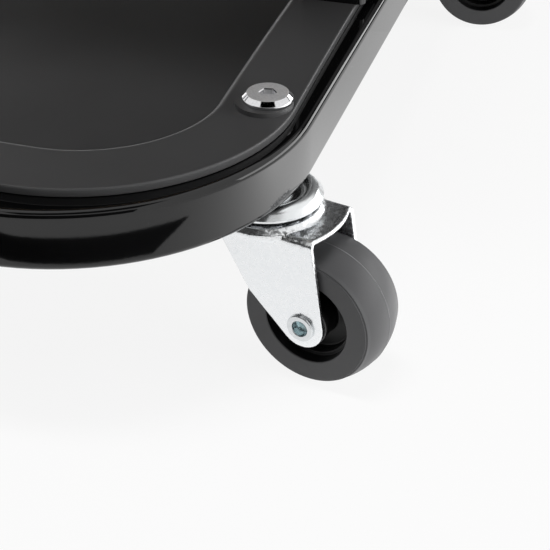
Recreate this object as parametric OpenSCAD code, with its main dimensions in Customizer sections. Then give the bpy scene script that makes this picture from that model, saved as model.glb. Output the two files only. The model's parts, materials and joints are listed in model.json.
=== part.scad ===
// Creeper seat: a padded workshop seat on two tube arches, over a tool tray in a
// ring of rectangular tube that rolls on four swivel casters.
// X runs across the ring, Y from its front to its rear, Z up from the floor.
// The origin is on the floor, under the middle of the ring.

/* [Ring] */
// Width of the ring, outside to outside
ring_w = 356; // [330:1:400]
// Length of the ring, outside to outside
ring_l = 436; // [420:1:480]
// Radius of the ring's corners, on the outside of the tube
ring_corner_r = 80; // [72:1:86]
// Width of the ring tube
ring_tube_w = 25; // [24:0.5:28]
// Height of the ring tube
ring_tube_h = 20; // [19:0.5:24]
// Radius of the tube's own edges
ring_tube_r = 2.5; // [2.5:0.5:5]
// Wall of the ring tube
ring_wall = 1.5; // [1.2:0.1:2]

/* [Tray] */
// Gap from the ring's outer face to the tray's edge at the sides
tray_side_inset = 5.6; // [4:0.1:7]
// Gap from the ring's outer face to the tray's edge at the ends
tray_end_inset = 10.4; // [8:0.1:13]
// Radius of the tray's outer corners
tray_corner_r = 68; // [60:1:76]
// How far the tray's long sides bow in at their middle
tray_waist = 2; // [0:0.1:4]
// Width of the flat flange along the sides
flange_side_w = 22.3; // [22:0.1:26]
// Width of the flat flange along the ends
flange_end_w = 22.2; // [18:0.1:26]
// Radius of the basin's corners, at the flange
basin_corner_r = 45.5; // [40:0.5:50]
// Depth of the basin below the flange's top
basin_depth = 24; // [15:0.5:25]
// Lean of the basin's walls from upright, in degrees
basin_lean = 8; // [3:0.5:12]
// Radius of the edge between flange and basin
basin_edge_r = 3.2; // [3.2:0.1:4.5]
// Radius between the basin's wall and its floor
basin_floor_r = 7; // [4:0.5:9]
// Thickness of the tray
tray_t = 3; // [2:0.1:3.1]
// Radius on the top of the flange's outer edge
lip_r = 0.6; // [0.4:0.1:1]

/* [Tray bolts] */
// Distance of a tray bolt from the ring's outer face
tray_bolt_inset = 14.9; // [14:0.1:16]
// Distance of a tray bolt behind the caster's axis
tray_bolt_back = 8.8; // [8.2:0.1:20]
// Diameter of the thread
tray_bolt_d = 6; // [5:0.5:6]
// Diameter of the flat head
tray_head_d = 16.3; // [14:0.1:18]
// Height of the head
tray_head_h = 2.5; // [2:0.1:3]
// Width of the bevel round the head
tray_head_bevel = 1.45; // [0.8:0.05:2]
// Hexagon socket across its flats
tray_socket_af = 4.7; // [4:0.1:6]
// Diameter of the washer under the head
tray_washer_d = 18.8; // [18:0.1:20]
// Thickness of the washer
tray_washer_t = 1.6; // [1:0.1:2]

/* [Casters] */
// Distance of a caster's axis from the ring's end
caster_end_inset = 72; // [66:1:82]
// Largest diameter of the wheel, at the middle of the tread
wheel_d = 50; // [46:1:54]
// Width of the wheel
wheel_w = 22.5; // [20:0.5:24]
// Drop of the crowned tread from its middle to the wheel's face
tread_drop = 2.7; // [1.5:0.1:4]
// Diameter of the recess in each face of the wheel
wheel_recess_d = 30; // [26:0.5:34]
// Thickness of the wheel's web
web_t = 6; // [4:0.5:9]
// Diameter of the wheel's hub
hub_d = 16; // [13:0.5:17]
// Distance from the swivel axis to the wheel's axle
trail = 21; // [18:0.5:23]
// Thickness of the fork's sheet
fork_t = 1.8; // [1.5:0.1:2.2]
// Gap from the wheel's face to the fork's leg
fork_side_gap = 1.1; // [0.8:0.1:2]
// Gap from the wheel's top to the fork's plate
fork_top_gap = 5.7; // [5:0.1:8]
// Radius of the fork's leg round the axle
fork_end_r = 7.8; // [7:0.1:9]
// Outer radius of the round plate under the race
fork_plate_r = 19.2; // [19:0.1:21]
// Height of the raised ball race above the fork's plate
race_rise = 1.7; // [1:0.1:2.2]
// Diameter of the balls
ball_d = 4.8; // [4:0.1:5]
// Number of balls in one caster
ball_count = 15; // [10:1:17]
// Outer radius of the cap over the balls
cap_r = 18.3; // [17.6:0.1:18.8]
// Height of the cap's crest above its rim
cap_rise = 3.6; // [3:0.1:4]
// Thickness of the cap's sheet
cap_t = 1.2; // [1:0.1:1.4]
// Gap between the cap's crest and the ring tube
cap_gap = 1.25; // [0.5:0.05:3]
// Diameter of the threaded stem
stem_d = 10; // [8:0.5:10]
// Turn of the front casters from pointing straight outward
front_turn = 13.6; // [-45:0.1:45]
// Turn of the rear casters from pointing straight outward
rear_turn = 3.5; // [-45:0.1:45]

/* [Arches] */
// Width of the arch tube, in the plane of the arch
arch_tube_w = 25; // [22:0.5:28]
// Depth of the arch tube, from front to rear
arch_tube_d = 20; // [18:0.5:24]
// Radius of the arch tube's own edges
arch_tube_r = 2.5; // [2.5:0.5:5]
// Wall of the arch tube
arch_wall = 1.5; // [1.2:0.1:2]
// Distance of a leg's axis from the ring's outer face
leg_inset = 17; // [14:0.5:17.5]
// Distance between the two arches, axis to axis
arch_spacing = 87; // [70:1:120]
// Radius of the arch's bends, at the tube's axis
arch_bend_r = 45; // [38:1:60]
// Height of the seat board's underside above the floor
board_z = 322; // [290:1:380]
// Diameter of the bolts that hold the legs
leg_bolt_d = 8; // [6:0.5:8]
// Length of the threaded plug in each leg's end
leg_plug_l = 20; // [16:1:30]

/* [Seat] */
// Width of the seat board
board_w = 340; // [320:1:360]
// Depth of the seat board
board_d = 240; // [220:1:280]
// Radius of the board's corners
board_corner_r = 46; // [40:1:60]
// Thickness of the board
board_t = 10; // [9:0.5:15]
// Distance of a seat bolt from the start of its arch's bend
seat_bolt_back = 31; // [10:1:60]
// Diameter of the seat bolts
seat_bolt_d = 6; // [5:0.5:6]
// How far the cushion stands out past the board
cushion_over = 7; // [5:0.5:10]
// Height of the cushion's side
cushion_side_h = 30; // [25:1:45]
// Height of the crown above the cushion's side
cushion_crown = 12; // [6:1:18]
// How far the cushion's sides draw in between the corners
cushion_draw = 2.5; // [0:0.5:8]
// Thickness of the cover round the board
cover_t = 1.3; // [1:0.1:2]
// Width of the cover's hem under the board
hem_w = 22; // [15:1:28]

/* [Hidden] */

// Number of sides of a round piece, and of the hulls in a fork's shoulders
$fn = 64;
hull_sides = 32;
// Steps in a corner of an outline, along its side, round an edge and over the tread
corner_steps = 9;
side_steps = 6;
edge_steps = 4;
tread_steps = 9;

// Overrun of every cut past the face that it opens
cut = 1;
// Gap between pieces that are screwed or pushed together
fit = 0.05;
// Gap round a bolt in its clearance hole
bolt_play = 0.4;
// Running gap between a turning piece and its pin
run_gap = 0.08;
// Gap between a soft or turning face and its neighbour
rest_gap = 0.3;

// The casters: side in X, side in Y, and the heading of the trail in degrees
front_right = [1, -1, -front_turn];
front_left = [-1, -1, 180 + front_turn];
rear_right = [1, 1, rear_turn];
rear_left = [-1, 1, 180 - rear_turn];
sides = [-1, 1];

// Wheel
axle_z = wheel_d / 2;
face_r = wheel_d / 2 - tread_drop;
face_q = wheel_w / 2;
edge_r = 0.7;
recess_r = wheel_recess_d / 2;
recess_step_w = 1.6;
recess_step_depth = 4;
hub_gap = 0.4;

// Axle: a hollow rivet in a sleeve that the wheel turns on
rivet_r = 3.5;
rivet_wall = 0.7;
rivet_head_r = 4.8;
rivet_head_t = 1.2;
sleeve_wall = 0.9;
sleeve_r = rivet_r + fit + sleeve_wall;
wheel_bore_r = sleeve_r + run_gap;

// Fork
fork_inner_w = wheel_w + 2 * fork_side_gap;
fork_w = fork_inner_w + 2 * fork_t;
fork_bend_inner_r = 0.6;
fork_bend_r = fork_t + fork_bend_inner_r;
fork_top = wheel_d + fork_top_gap + fork_t;
fork_reach = 3;
fork_front = trail + fork_reach;
fork_bulge = 2.2;
fork_back_share = 0.7;
fork_back = fork_plate_r * fork_back_share;
fork_knee_share = 0.07;
fork_knee = [trail * fork_knee_share, axle_z + fork_end_r];
shoulder_drop = 4.2;

// Swivel: race, balls, cap and the pin that holds them
race_z = fork_top + race_rise;
ball_sink = 0.4;
ball_z = race_z - ball_sink + ball_d / 2;
cap_flank_w = 4.1;
ball_ring_r = cap_r - cap_flank_w;
race_margin = 0.8;
race_r = ball_ring_r + ball_d / 2 + race_margin;
race_flank_w = 1.6;
cap_arc_r = ball_d / 2 + fit + cap_t;
cap_flank_angle = 40;
cap_dish_angle = 150;
cap_crest_z = ball_z + cap_arc_r;
cap_rim_z = cap_crest_z - cap_rise;
cap_rim_h = 0.8;
cap_dish_r = ball_ring_r + cap_arc_r * cos(cap_dish_angle);
cap_dish_z = ball_z + cap_arc_r * sin(cap_dish_angle);
pin_step = 1;
pin_r = stem_d / 2 - pin_step;
pin_head_r = 7.4;
pin_head_t = 2;
collar_r = 8.4;
collar_t = 1.2;
neck_r = 6.6;
stem_end = 1;

// Heights of ring, tray and legs
ring_z = cap_crest_z + cap_gap;
ring_top = ring_z + ring_tube_h;
flange_top = ring_top + tray_t;
floor_z = flange_top - basin_depth;

// Plan of ring, tray and legs
caster_x = ring_w / 2 - ring_tube_w / 2;
caster_y = ring_l / 2 - caster_end_inset;
tray_bolt_x = ring_w / 2 - tray_bolt_inset;
tray_bolt_y = caster_y - tray_bolt_back;
leg_x = ring_w / 2 - leg_inset;
leg_y = arch_spacing / 2;
seat_bolt_x = leg_x - arch_bend_r - seat_bolt_back;
tray_hx = ring_w / 2 - tray_side_inset;
tray_hy = ring_l / 2 - tray_end_inset;
basin_hx = tray_hx - flange_side_w;
basin_hy = tray_hy - flange_end_w;
arch_axis_z = board_z - arch_tube_w / 2;

// Section of the tray: where its wall starts and ends, as insets from the flange
wall_arc = 90 - basin_lean;
wall_start = basin_edge_r * sin(wall_arc);
wall_h = basin_depth - basin_edge_r * (1 - cos(wall_arc)) - basin_floor_r * (1 - cos(wall_arc));
floor_inset = wall_start + wall_h * tan(basin_lean) + basin_floor_r * sin(wall_arc);

// Small fasteners
stem_nut_af = 16;
stem_nut_h = 6;
tray_nut_af = 10;
tray_nut_h = 5;
tray_bolt_l = 15;
tray_socket_depth = 1.8;
tray_washer_shift = 0.9;
leg_head_af = 13;
leg_head_h = 5;
leg_washer_r = 8;
leg_washer_t = 1.5;
seat_head_af = 10;
seat_head_h = 4;
seat_washer_r = 6;
seat_washer_t = 1.2;
tee_wall = 1;
tee_barrel_r = seat_bolt_d / 2 + fit + tee_wall;
tee_flange_r = 9;
tee_flange_t = 1.2;

// Cushion's side from its bottom ring up: share of its height, share of its overhang
cushion_side_shares = [
    [0, 0.3], [0.06, 0.6], [0.22, 0.85], [0.45, 0.95], [0.7, 0.9], [0.8, 0.76],
    [0.87, 0.88], [0.95, 0.76], [1, 0.4]];
// Shares of the plan at which the rings of the crown lie
crown_shares = [0.95, 0.84, 0.68, 0.48, 0.26, 0.08];

// Points on an arc about a centre, from one angle to another
function arc(centre, r, from, to, steps) =
    [for (i = [0:steps]) let (a = from + (to - from) * i / steps) centre + r * [cos(a), sin(a)]];

// Angle at which a line from point p touches a circle; turn picks one of the two
function touch_angle(p, centre, r, turn) =
    let (d = p - centre) atan2(d[1], d[0]) + turn * acos(r / norm(d));

// Points between the two ends of a side that bows by the vector bow at its middle
function bowed(from, to, bow) =
    [for (i = [1:side_steps - 1]) let (t = i / side_steps) from + (to - from) * t + bow * 4 * t * (1 - t)];

// A rounded rectangle of half sizes hx and hy; its sides bow in by wx and wy
function outline(hx, hy, r, wx = 0, wy = 0) =
    let (sx = hx - r, sy = hy - r) concat(
        arc([sx, sy], r, 0, 90, corner_steps), bowed([sx, hy], [-sx, hy], [0, -wy]),
        arc([-sx, sy], r, 90, 180, corner_steps), bowed([-hx, sy], [-hx, -sy], [wx, 0]),
        arc([-sx, -sy], r, 180, 270, corner_steps), bowed([-sx, -hy], [sx, -hy], [0, wy]),
        arc([sx, -sy], r, 270, 360, corner_steps), bowed([hx, -sy], [hx, sy], [-wx, 0]));

// One closed skin over rings of points, each given as [points, height], with a fan at each end
module skin(rings) {
    n = len(rings[0][0]);
    m = len(rings);
    points = [for (ring = rings) each [for (p = ring[0]) [p[0], p[1], ring[1]]]];
    middles = [[0, 0, rings[0][1]], [0, 0, rings[m - 1][1]]];
    walls = [for (j = [0:m - 2]) each [for (i = [0:n - 1]) let (k = (i + 1) % n)
        each [[j * n + i, j * n + n + i, j * n + n + k], [j * n + i, j * n + n + k, j * n + k]]]];
    low_fan = [for (i = [0:n - 1]) [m * n, i, (i + 1) % n]];
    high_fan = [for (i = [0:n - 1]) [m * n + 1, (m - 1) * n + (i + 1) % n, (m - 1) * n + i]];
    polyhedron(concat(points, middles), concat(low_fan, walls, high_fan), convexity = 6);
}

// A rectangle with round corners, centred
module rounded(w, l, r) {
    square([w - 2 * r, l], center = true);
    square([w, l - 2 * r], center = true);
    for (sx = sides, sy = sides)
        translate([sx * (w / 2 - r), sy * (l / 2 - r)]) circle(r);
}

// A hexagon by its width across flats
module hexagon(af) {
    circle(af / sqrt(3), $fn = 6);
}

// Places its children over each of four points that mirror each other
module four(x, y) {
    for (sx = sides, sy = sides)
        translate([sx * x, sy * y, 0]) children();
}

// A straight round hole upward through everything between two heights
module hole(r, from, to) {
    translate([0, 0, from - cut]) cylinder(r = r, h = to - from + 2 * cut);
}

// Base: ring of tube

// Sweeps a 2D section round the ring's centreline
module round_ring() {
    mid_x = ring_w / 2 - ring_tube_w / 2;
    mid_y = ring_l / 2 - ring_tube_w / 2;
    mid_r = ring_corner_r - ring_tube_w / 2;
    for (s = sides) {
        translate([s * mid_x, 0, 0]) rotate([90, 0, 0])
            linear_extrude(2 * (mid_y - mid_r), center = true) children();
        translate([0, s * mid_y, 0]) rotate([90, 0, 90])
            linear_extrude(2 * (mid_x - mid_r), center = true) children();
    }
    for (q = [0:3])
        translate([(q == 0 || q == 3 ? 1 : -1) * (mid_x - mid_r), (q < 2 ? 1 : -1) * (mid_y - mid_r), 0])
            rotate([0, 0, 90 * q]) rotate_extrude(angle = 90) translate([mid_r, 0]) children();
}

module base_ring() {
    color("#161617") difference() {
        translate([0, 0, ring_z + ring_tube_h / 2]) difference() {
            round_ring() rounded(ring_tube_w, ring_tube_h, ring_tube_r);
            round_ring() rounded(ring_tube_w - 2 * ring_wall, ring_tube_h - 2 * ring_wall,
                ring_tube_r - ring_wall);
        }
        four(tray_bolt_x, tray_bolt_y)
            hole(tray_bolt_d / 2 + bolt_play, ring_top - ring_wall, ring_top);
        four(leg_x, leg_y) hole(leg_bolt_d / 2 + bolt_play, ring_z, ring_top);
        four(caster_x, caster_y) hole(stem_d / 2 + bolt_play, ring_z, ring_z + ring_wall);
    }
}

// Tray: a flange that lies on the ring, round a drawn basin

// Rings of the tray's skin, by their inset from the flange's outer or inner edge
function outer_ring(inset, z) =
    [outline(tray_hx - inset, tray_hy - inset, tray_corner_r - inset, tray_waist), z];
function basin_ring(inset, z) =
    [outline(basin_hx - inset, basin_hy - inset, basin_corner_r - inset, tray_waist), z];
function edge_rings(r, from, to) =
    [for (p = arc([0, flange_top - basin_edge_r], r, 90 - from, 90 - to, edge_steps)) basin_ring(p[0], p[1])];
function floor_rings(r, from, to) =
    [for (p = arc([floor_inset, floor_z + basin_floor_r], r, 270 - from, 270 - to, edge_steps))
        basin_ring(p[0], p[1])];

module tool_tray() {
    color("#232325") difference() {
        skin(concat(
            floor_rings(basin_floor_r + tray_t, 0, wall_arc),
            edge_rings(basin_edge_r - tray_t, wall_arc, 0),
            [outer_ring(0, ring_top)],
            [for (p = arc([lip_r, flange_top - lip_r], lip_r, 180, 90, edge_steps)) outer_ring(p[0], p[1])],
            edge_rings(basin_edge_r, 0, wall_arc),
            floor_rings(basin_floor_r, wall_arc, 0)));
        four(tray_bolt_x, tray_bolt_y) hole(tray_bolt_d / 2 + bolt_play, ring_top, flange_top);
        four(leg_x, leg_y) hole(leg_bolt_d / 2 + bolt_play, ring_top, flange_top);
    }
}

module tray_bolts() {
    seat = flange_top + tray_washer_t;
    color("#b9bbbe") four(tray_bolt_x, tray_bolt_y) difference() {
        rotate_extrude() polygon([
            [0, seat - tray_bolt_l], [tray_bolt_d / 2, seat - tray_bolt_l], [tray_bolt_d / 2, seat],
            [tray_head_d / 2, seat], [tray_head_d / 2, seat + tray_head_h - tray_head_bevel],
            [tray_head_d / 2 - tray_head_bevel, seat + tray_head_h], [0, seat + tray_head_h]]);
        translate([0, 0, seat + tray_head_h - tray_socket_depth])
            linear_extrude(tray_socket_depth + cut) hexagon(tray_socket_af);
    }
}

module tray_washers() {
    color("#1c1c1e") for (sx = sides, sy = sides)
        translate([sx * (tray_bolt_x - tray_washer_shift), sy * (tray_bolt_y + tray_washer_shift), 0])
            translate([0, 0, flange_top]) difference() {
                cylinder(r = tray_washer_d / 2, h = tray_washer_t);
                hole(tray_bolt_d / 2 + 2 * tray_washer_shift, 0, tray_washer_t);
            }
}

module tray_nuts() {
    color("#8f9296") four(tray_bolt_x, tray_bolt_y)
        translate([0, 0, ring_top - ring_wall - tray_nut_h]) difference() {
            linear_extrude(tray_nut_h) hexagon(tray_nut_af);
            hole(tray_bolt_d / 2 + fit, 0, tray_nut_h);
        }
}

// Arches: two bent tubes that stand on the tray's flange and carry the seat

// Sweeps a 2D section up one leg, over and down the other; over is added at the feet
module arch_sweep(over = 0) {
    foot = flange_top - over;
    reach = leg_x - arch_bend_r;
    for (s = sides) {
        translate([s * leg_x, 0, foot]) linear_extrude(arch_axis_z - arch_bend_r - foot) children();
        translate([s * reach, 0, arch_axis_z - arch_bend_r]) rotate([90, 0, 0])
            rotate([0, 0, s > 0 ? 0 : 90]) rotate_extrude(angle = 90)
                translate([arch_bend_r, 0]) children();
    }
    translate([0, 0, arch_axis_z]) rotate([0, 90, 0]) linear_extrude(2 * reach, center = true) children();
}

module arch(y) {
    color("#161617") translate([0, y, 0]) difference() {
        arch_sweep() rounded(arch_tube_w, arch_tube_d, arch_tube_r);
        arch_sweep(cut) rounded(arch_tube_w - 2 * arch_wall, arch_tube_d - 2 * arch_wall,
            arch_tube_r - arch_wall);
        for (s = sides) translate([s * seat_bolt_x, 0, 0])
            hole(seat_bolt_d / 2 + bolt_play, board_z - arch_tube_w, board_z);
    }
}

module front_arch() {
    arch(-leg_y);
}

module rear_arch() {
    arch(leg_y);
}

module leg_plugs() {
    color("#6d7075") four(leg_x, leg_y) translate([0, 0, flange_top]) difference() {
        linear_extrude(leg_plug_l) rounded(arch_tube_w - 2 * (arch_wall + fit),
            arch_tube_d - 2 * (arch_wall + fit), arch_tube_r - arch_wall - fit);
        hole(leg_bolt_d / 2 + fit, 0, leg_plug_l);
    }
}

module leg_washers() {
    color("#b9bbbe") four(leg_x, leg_y) translate([0, 0, ring_z - leg_washer_t]) difference() {
        cylinder(r = leg_washer_r, h = leg_washer_t);
        hole(leg_bolt_d / 2 + bolt_play, 0, leg_washer_t);
    }
}

module leg_bolts() {
    seat = ring_z - leg_washer_t;
    color("#b9bbbe") four(leg_x, leg_y) {
        translate([0, 0, seat - leg_head_h]) linear_extrude(leg_head_h) hexagon(leg_head_af);
        translate([0, 0, seat - leg_head_h]) cylinder(r = leg_bolt_d / 2,
            h = flange_top + leg_plug_l - stem_end - seat + leg_head_h);
    }
}

// Seat: a plywood board with a padded cushion, its cover folded under the board

module seat_board() {
    color("#c49a63") translate([0, 0, board_z]) difference() {
        linear_extrude(board_t) rounded(board_w, board_d, board_corner_r);
        four(seat_bolt_x, leg_y) {
            hole(tee_barrel_r + fit, 0, board_t);
            translate([0, 0, board_t - tee_flange_t])
                cylinder(r = tee_flange_r + fit, h = tee_flange_t + cut);
        }
    }
}

module seat_cushion() {
    low = board_z + board_t + rest_gap;
    side_out = function (share) cushion_over * (2 * share - 1);
    side_ring = function (out, z) [outline(board_w / 2 + out, board_d / 2 + out, board_corner_r + out,
        cushion_draw, cushion_draw), z];
    rim = side_out(cushion_side_shares[len(cushion_side_shares) - 1][1]);
    color("#1a1a1c") skin(concat(
        [for (s = cushion_side_shares) side_ring(side_out(s[1]), low + cushion_side_h * s[0])],
        [for (s = crown_shares) [s * side_ring(rim, 0)[0],
            low + cushion_side_h + cushion_crown * (1 - s * s)]]));
}

module cover_skirt() {
    inner = 2 * fit;
    outer = inner + 2 * cover_t;
    color("#1a1a1c") translate([0, 0, board_z - fit - cover_t]) {
        linear_extrude(board_t + fit + cover_t) difference() {
            rounded(board_w + outer, board_d + outer, board_corner_r + outer / 2);
            rounded(board_w + inner, board_d + inner, board_corner_r + inner / 2);
        }
        linear_extrude(cover_t) difference() {
            rounded(board_w + inner, board_d + inner, board_corner_r + inner / 2);
            rounded(board_w - 2 * hem_w, board_d - 2 * hem_w, board_corner_r - hem_w);
        }
    }
}

module seat_washers() {
    color("#b9bbbe") four(seat_bolt_x, leg_y)
        translate([0, 0, board_z - arch_tube_w - seat_washer_t]) difference() {
            cylinder(r = seat_washer_r, h = seat_washer_t);
            hole(seat_bolt_d / 2 + bolt_play, 0, seat_washer_t);
        }
}

module seat_bolts() {
    head_z = board_z - arch_tube_w - seat_washer_t - seat_head_h;
    color("#b9bbbe") four(seat_bolt_x, leg_y) translate([0, 0, head_z]) {
        linear_extrude(seat_head_h) hexagon(seat_head_af);
        cylinder(r = seat_bolt_d / 2, h = board_z + board_t - stem_end - head_z);
    }
}

module seat_tee_nuts() {
    color("#b9bbbe") four(seat_bolt_x, leg_y) translate([0, 0, board_z]) difference() {
        union() {
            cylinder(r = tee_barrel_r, h = board_t);
            translate([0, 0, board_t - tee_flange_t]) cylinder(r = tee_flange_r, h = tee_flange_t);
        }
        hole(seat_bolt_d / 2 + fit, 0, board_t);
    }
}

// Casters

// Places its children at a caster's swivel axis, turned to the heading of its trail
module at_caster(place) {
    translate([place[0] * caster_x, place[1] * caster_y, 0]) rotate([0, 0, place[2]]) children();
}

module caster_nuts() {
    color("#8f9296") four(caster_x, caster_y) translate([0, 0, ring_z + ring_wall]) difference() {
        linear_extrude(stem_nut_h) hexagon(stem_nut_af);
        hole(stem_d / 2 + fit, 0, stem_nut_h);
    }
}

// The king pin: its head under the fork, its collar on the cap, its thread in the ring
module stem(place) {
    head_top = race_z - fork_t - rest_gap;
    thread_top = ring_z + ring_wall + stem_nut_h + stem_end;
    color("#c3c6ca") at_caster(place) rotate_extrude() polygon([
        [0, head_top - pin_head_t], [pin_head_r, head_top - pin_head_t], [pin_head_r, head_top],
        [pin_r, head_top], [pin_r, cap_dish_z], [collar_r, cap_dish_z],
        [collar_r, cap_dish_z + collar_t], [neck_r, cap_dish_z + collar_t], [neck_r, ring_z],
        [stem_d / 2, ring_z], [stem_d / 2, thread_top], [0, thread_top]]);
}

module cap(place) {
    crown = [ball_ring_r, ball_z];
    under_r = cap_arc_r - cap_t;
    color("#d4d7da") at_caster(place) rotate_extrude() polygon(concat(
        [[pin_r + fit, cap_dish_z - cap_t], [cap_dish_r, cap_dish_z - cap_t]],
        arc(crown, under_r, cap_dish_angle, cap_flank_angle, edge_steps),
        [[cap_r - cap_t, cap_rim_z + cap_rim_h], [cap_r - cap_t, cap_rim_z],
         [cap_r, cap_rim_z], [cap_r, cap_rim_z + cap_rim_h]],
        arc(crown, cap_arc_r, cap_flank_angle, cap_dish_angle, 2 * edge_steps),
        [[pin_r + fit, cap_dish_z]]));
}

module balls(place) {
    color("#aeb1b5") at_caster(place) for (i = [0:ball_count - 1])
        rotate([0, 0, 360 * i / ball_count]) translate([ball_ring_r, 0, ball_z]) sphere(ball_d / 2);
}

// The fork's channel in cross-section: flat on top, with round bends, open below
module channel(w, top, r) {
    translate([-w / 2, 0]) square([w, top - r]);
    translate([r - w / 2, 0]) square([w - 2 * r, top]);
    for (s = sides) translate([s * (w / 2 - r), top - r]) circle(r);
}

// A leg of the fork from the side: from the plate to the round end at the axle
module leg_side() {
    axle = [trail, axle_z];
    toe = [fork_front, fork_top];
    polygon(concat(
        [toe, [-fork_back, fork_top], fork_knee],
        arc(axle, fork_end_r, touch_angle(fork_knee, axle, fork_end_r, 1),
            360 + touch_angle(toe, axle, fork_end_r, -1), 4 * edge_steps)));
}

// The round plate and the shoulders that lead from it into the legs
module shoulders(plate_r, top, w, front, back) {
    hull() {
        translate([0, 0, top - fork_t]) cylinder(r = plate_r, h = fork_t, $fn = hull_sides);
        translate([-back, -w / 2, top - shoulder_drop]) cube([front + back, w, fork_t]);
    }
}

module fork(place) {
    plate_span = sqrt(fork_plate_r * fork_plate_r - fork_w * fork_w / 4);
    nose_w = fork_w - 2 * fork_bend_r;
    nose_r = (nose_w * nose_w / 4 + fork_bulge * fork_bulge) / (2 * fork_bulge);
    color("#d4d7da") at_caster(place) difference() {
        union() {
            intersection() {
                translate([-fork_plate_r, 0, 0]) rotate([90, 0, 90])
                    linear_extrude(fork_plate_r + fork_front + fork_end_r + fork_plate_r) difference() {
                        channel(fork_w, fork_top, fork_bend_r);
                        translate([0, -cut])
                            channel(fork_inner_w, fork_top - fork_t + cut, fork_bend_r - fork_t);
                    }
                rotate([90, 0, 0]) linear_extrude(fork_w + 2 * cut, center = true) leg_side();
            }
            translate([0, 0, fork_top - fork_t]) linear_extrude(fork_t) intersection() {
                translate([fork_front + fork_bulge - nose_r, 0]) circle(nose_r);
                translate([0, -nose_w / 2]) square([fork_front + fork_bulge, nose_w]);
            }
            difference() {
                shoulders(fork_plate_r, fork_top, fork_w, plate_span, plate_span);
                shoulders(fork_plate_r - fork_t, fork_top - fork_t, fork_inner_w, fork_front,
                    plate_span - fork_t);
            }
            translate([0, 0, fork_top - fork_t]) cylinder(r = race_r + race_flank_w, h = fork_t);
            translate([0, 0, fork_top]) cylinder(r1 = race_r + race_flank_w, r2 = race_r, h = race_rise);
        }
        translate([0, 0, fork_top - fork_t - cut])
            cylinder(r = race_r + race_flank_w - fork_t, h = race_rise + cut);
        rotate_extrude() translate([ball_ring_r, ball_z]) circle(ball_d / 2 + rest_gap);
        hole(pin_r + run_gap, fork_top, race_z);
        translate([trail, 0, axle_z]) rotate([90, 0, 0])
            cylinder(r = rivet_r + fit, h = fork_w + 2 * cut, center = true);
    }
}

// Places its children on the wheel's axle, with Z along the axle
module at_axle(place) {
    at_caster(place) translate([trail, 0, axle_z]) rotate([90, 0, 0]) children();
}

module axle(place) {
    inner = rivet_r - rivet_wall;
    half = fork_w / 2;
    color("#c3c6ca") at_axle(place) rotate_extrude() polygon([
        [inner, -half - rivet_head_t], [rivet_head_r - edge_r, -half - rivet_head_t],
        [rivet_head_r, -half - rivet_head_t + edge_r], [rivet_head_r, -half], [rivet_r, -half],
        [rivet_r, half], [rivet_head_r, half], [rivet_head_r, half + rivet_head_t - edge_r],
        [rivet_head_r - edge_r, half + rivet_head_t], [inner, half + rivet_head_t]]);
}

module sleeve(place) {
    color("#8f9296") at_axle(place) difference() {
        cylinder(r = sleeve_r, h = fork_inner_w, center = true);
        cylinder(r = rivet_r + fit, h = fork_inner_w + 2 * cut, center = true);
    }
}

module wheel(place) {
    hub_q = fork_inner_w / 2 - hub_gap;
    step_q = face_q - recess_step_depth;
    tread = [for (i = [0:tread_steps]) let (q = (face_q - edge_r) * (1 - i / tread_steps))
        [face_r + tread_drop * (1 - pow(q / face_q, 2)), q]];
    half = concat(
        [[wheel_bore_r, hub_q], [hub_d / 2, hub_q], [hub_d / 2, web_t / 2],
         [recess_r - recess_step_w, web_t / 2], [recess_r - recess_step_w, step_q], [recess_r, step_q],
         [recess_r, face_q - edge_r], [recess_r + edge_r, face_q], [face_r - edge_r, face_q]],
        tread);
    far = len(half) - 2;
    color("#2b2b2d") at_axle(place) rotate_extrude()
        polygon(concat(half, [for (i = [far:-1:0]) [half[i][0], -half[i][1]]]));
}

base_ring();
tool_tray();
tray_bolts();
tray_washers();
tray_nuts();
front_arch();
rear_arch();
leg_plugs();
leg_bolts();
leg_washers();
seat_board();
seat_cushion();
cover_skirt();
seat_bolts();
seat_washers();
seat_tee_nuts();
caster_nuts();
stem(front_right);  // stem_front_right
cap(front_right);  // cap_front_right
balls(front_right);  // balls_front_right
fork(front_right);  // fork_front_right
axle(front_right);  // axle_front_right
sleeve(front_right);  // sleeve_front_right
wheel(front_right);  // wheel_front_right
stem(front_left);  // stem_front_left
cap(front_left);  // cap_front_left
balls(front_left);  // balls_front_left
fork(front_left);  // fork_front_left
axle(front_left);  // axle_front_left
sleeve(front_left);  // sleeve_front_left
wheel(front_left);  // wheel_front_left
stem(rear_right);  // stem_rear_right
cap(rear_right);  // cap_rear_right
balls(rear_right);  // balls_rear_right
fork(rear_right);  // fork_rear_right
axle(rear_right);  // axle_rear_right
sleeve(rear_right);  // sleeve_rear_right
wheel(rear_right);  // wheel_rear_right
stem(rear_left);  // stem_rear_left
cap(rear_left);  // cap_rear_left
balls(rear_left);  // balls_rear_left
fork(rear_left);  // fork_rear_left
axle(rear_left);  // axle_rear_left
sleeve(rear_left);  // sleeve_rear_left
wheel(rear_left);  // wheel_rear_left
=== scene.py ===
"""Looks of a rolling workshop seat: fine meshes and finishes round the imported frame, and a white studio.

Lengths are in metres, in the frame of the CAD model: X across the ring, Y to the rear, Z up.
"""
import json
import math

import bmesh
import bpy
from mathutils import Matrix, Vector, noise
from mathutils.bvhtree import BVHTree


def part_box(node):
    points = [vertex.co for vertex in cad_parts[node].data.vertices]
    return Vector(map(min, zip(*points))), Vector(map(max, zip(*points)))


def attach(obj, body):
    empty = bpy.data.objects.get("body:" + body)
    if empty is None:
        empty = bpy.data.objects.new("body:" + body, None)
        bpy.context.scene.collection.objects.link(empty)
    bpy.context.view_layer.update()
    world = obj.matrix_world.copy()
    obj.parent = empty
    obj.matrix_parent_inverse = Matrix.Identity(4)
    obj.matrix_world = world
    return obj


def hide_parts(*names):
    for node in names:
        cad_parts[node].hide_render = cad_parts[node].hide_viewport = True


MM = 0.001

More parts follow.
